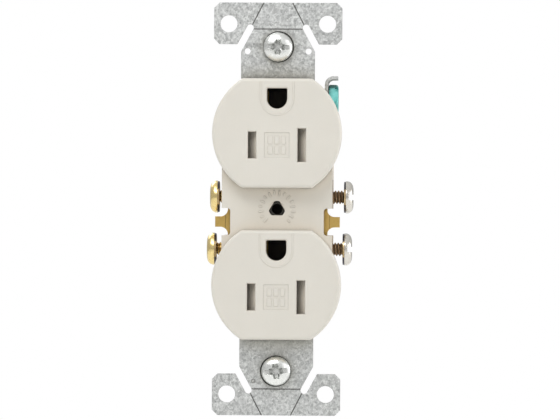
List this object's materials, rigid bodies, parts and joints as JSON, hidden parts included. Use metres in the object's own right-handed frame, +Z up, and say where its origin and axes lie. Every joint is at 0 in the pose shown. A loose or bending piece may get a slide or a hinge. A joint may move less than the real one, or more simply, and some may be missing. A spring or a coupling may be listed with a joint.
{
  "type": "duplex wall outlet",
  "caption": "Duplex wall outlet with grounded shuttered faces on a steel mounting strap, with side terminal screws and a ground terminal.",
  "frame": {"origin": "centre of the ear hole pattern on the strap's rear plane", "axes": "+Z up along the strap, +X to the right seen from the front, the faces look along -Y"},
  "size_m": [0.0378, 0.031, 0.1062],
  "materials": {
    "galvanised_steel": "galvanised",
    "almond_plastic": "satin",
    "body_plastic": "moulded",
    "bar_brass": "rolled",
    "brass_plate": "polished",
    "nickel_plate": "bright nickel",
    "green_paint": "lacquered",
    "zinc_plate": "bright zinc",
    "shutter_plastic": "moulded",
    "guide_plastic": "moulded",
    "spring_steel": "drawn",
    "fibre_washer": "moulded"
  },
  "bodies": {
    "outlet_frame": {"mounting_strap": "galvanised_steel", "face_cover": "almond_plastic", "back_body": "body_plastic", "neutral_terminal_bar": "bar_brass", "hot_terminal_bar": "bar_brass", "upper_ground_contact": "bar_brass", "upper_ground_rivet": "zinc_plate", "upper_shutter_guide": "guide_plastic", "upper_assembly_screws": "zinc_plate", "lower_ground_contact": "bar_brass", "lower_ground_rivet": "zinc_plate", "lower_shutter_guide": "guide_plastic", "lower_assembly_screws": "zinc_plate", "upper_shutter_spring": "spring_steel", "lower_shutter_spring": "spring_steel"},
    "upper_hot_screw": {"upper_hot_screw": "brass_plate"},
    "upper_neutral_screw": {"upper_neutral_screw": "nickel_plate"},
    "lower_hot_screw": {"lower_hot_screw": "brass_plate"},
    "lower_neutral_screw": {"lower_neutral_screw": "nickel_plate"},
    "ground_screw": {"ground_screw": "green_paint"},
    "upper_retaining_washer": {"upper_retaining_washer": "fibre_washer"},
    "upper_mounting_screw": {"upper_mounting_screw": "zinc_plate"},
    "lower_retaining_washer": {"lower_retaining_washer": "fibre_washer"},
    "lower_mounting_screw": {"lower_mounting_screw": "zinc_plate"},
    "upper_shutter": {"upper_shutter_slider": "shutter_plastic"},
    "lower_shutter": {"lower_shutter_slider": "shutter_plastic"},
    "upper_hot_wire_clamp": {"upper_hot_wire_clamp": "spring_steel"},
    "upper_neutral_wire_clamp": {"upper_neutral_wire_clamp": "spring_steel"},
    "lower_hot_wire_clamp": {"lower_hot_wire_clamp": "spring_steel"},
    "lower_neutral_wire_clamp": {"lower_neutral_wire_clamp": "spring_steel"}
  },
  "joints": [
    {"name": "upper_hot_screw_travel", "type": "slide", "parent": "outlet_frame", "child": "upper_hot_screw", "axis": [-1, 0, 0], "range_m": [-0.0023, 0.00265]},
    {"name": "upper_neutral_screw_travel", "type": "slide", "parent": "outlet_frame", "child": "upper_neutral_screw", "axis": [1, 0, 0], "range_m": [-0.00425, 0.0007]},
    {"name": "lower_hot_screw_travel", "type": "slide", "parent": "outlet_frame", "child": "lower_hot_screw", "axis": [-1, 0, 0], "range_m": [-0.00305, 0.0019]},
    {"name": "lower_neutral_screw_travel", "type": "slide", "parent": "outlet_frame", "child": "lower_neutral_screw", "axis": [1, 0, 0], "range_m": [-0.00395, 0.001]},
    {"name": "ground_screw_travel", "type": "slide", "parent": "outlet_frame", "child": "ground_screw", "axis": [1, 0, 0], "range_m": [0, 0.0035]},
    {"name": "upper_washer_shift", "type": "slide", "parent": "outlet_frame", "child": "upper_retaining_washer", "axis": [1, 0, 0], "range_m": [-0.0012, 0.0012]},
    {"name": "upper_mounting_screw_travel", "type": "slide", "parent": "upper_retaining_washer", "child": "upper_mounting_screw", "axis": [0, 1, 0], "range_m": [-0.013, 0.00075]},
    {"name": "lower_washer_shift", "type": "slide", "parent": "outlet_frame", "child": "lower_retaining_washer", "axis": [1, 0, 0], "range_m": [-0.0012, 0.0012]},
    {"name": "lower_mounting_screw_travel", "type": "slide", "parent": "lower_retaining_washer", "child": "lower_mounting_screw", "axis": [0, 1, 0], "range_m": [-0.013, 0.00075]},
    {"name": "upper_shutter_travel", "type": "slide", "parent": "outlet_frame", "child": "upper_shutter", "axis": [1, 0, 0], "range_m": [0, 0.0027], "stiffness_N_per_m": 80, "springref_m": -0.002, "deforming": ["upper_shutter_spring"]},
    {"name": "lower_shutter_travel", "type": "slide", "parent": "outlet_frame", "child": "lower_shutter", "axis": [1, 0, 0], "range_m": [0, 0.0027], "stiffness_N_per_m": 80, "springref_m": -0.002, "deforming": ["lower_shutter_spring"]},
    {"name": "upper_hot_clamp_flex", "type": "hinge", "parent": "outlet_frame", "child": "upper_hot_wire_clamp", "pos_m": [-0.0094, 0.0204, 0.0124], "axis": [-1, 0, 0], "range_deg": [0, 14], "stiffness_Nm_per_rad": 0.02},
    {"name": "upper_neutral_clamp_flex", "type": "hinge", "parent": "outlet_frame", "child": "upper_neutral_wire_clamp", "pos_m": [0.0094, 0.0204, 0.0124], "axis": [-1, 0, 0], "range_deg": [0, 14], "stiffness_Nm_per_rad": 0.02},
    {"name": "lower_hot_clamp_flex", "type": "hinge", "parent": "outlet_frame", "child": "lower_hot_wire_clamp", "pos_m": [-0.0094, 0.0204, -0.0196], "axis": [1, 0, 0], "range_deg": [0, 14], "stiffness_Nm_per_rad": 0.02},
    {"name": "lower_neutral_clamp_flex", "type": "hinge", "parent": "outlet_frame", "child": "lower_neutral_wire_clamp", "pos_m": [0.0094, 0.0204, -0.0196], "axis": [1, 0, 0], "range_deg": [0, 14], "stiffness_Nm_per_rad": 0.02}
  ]
}
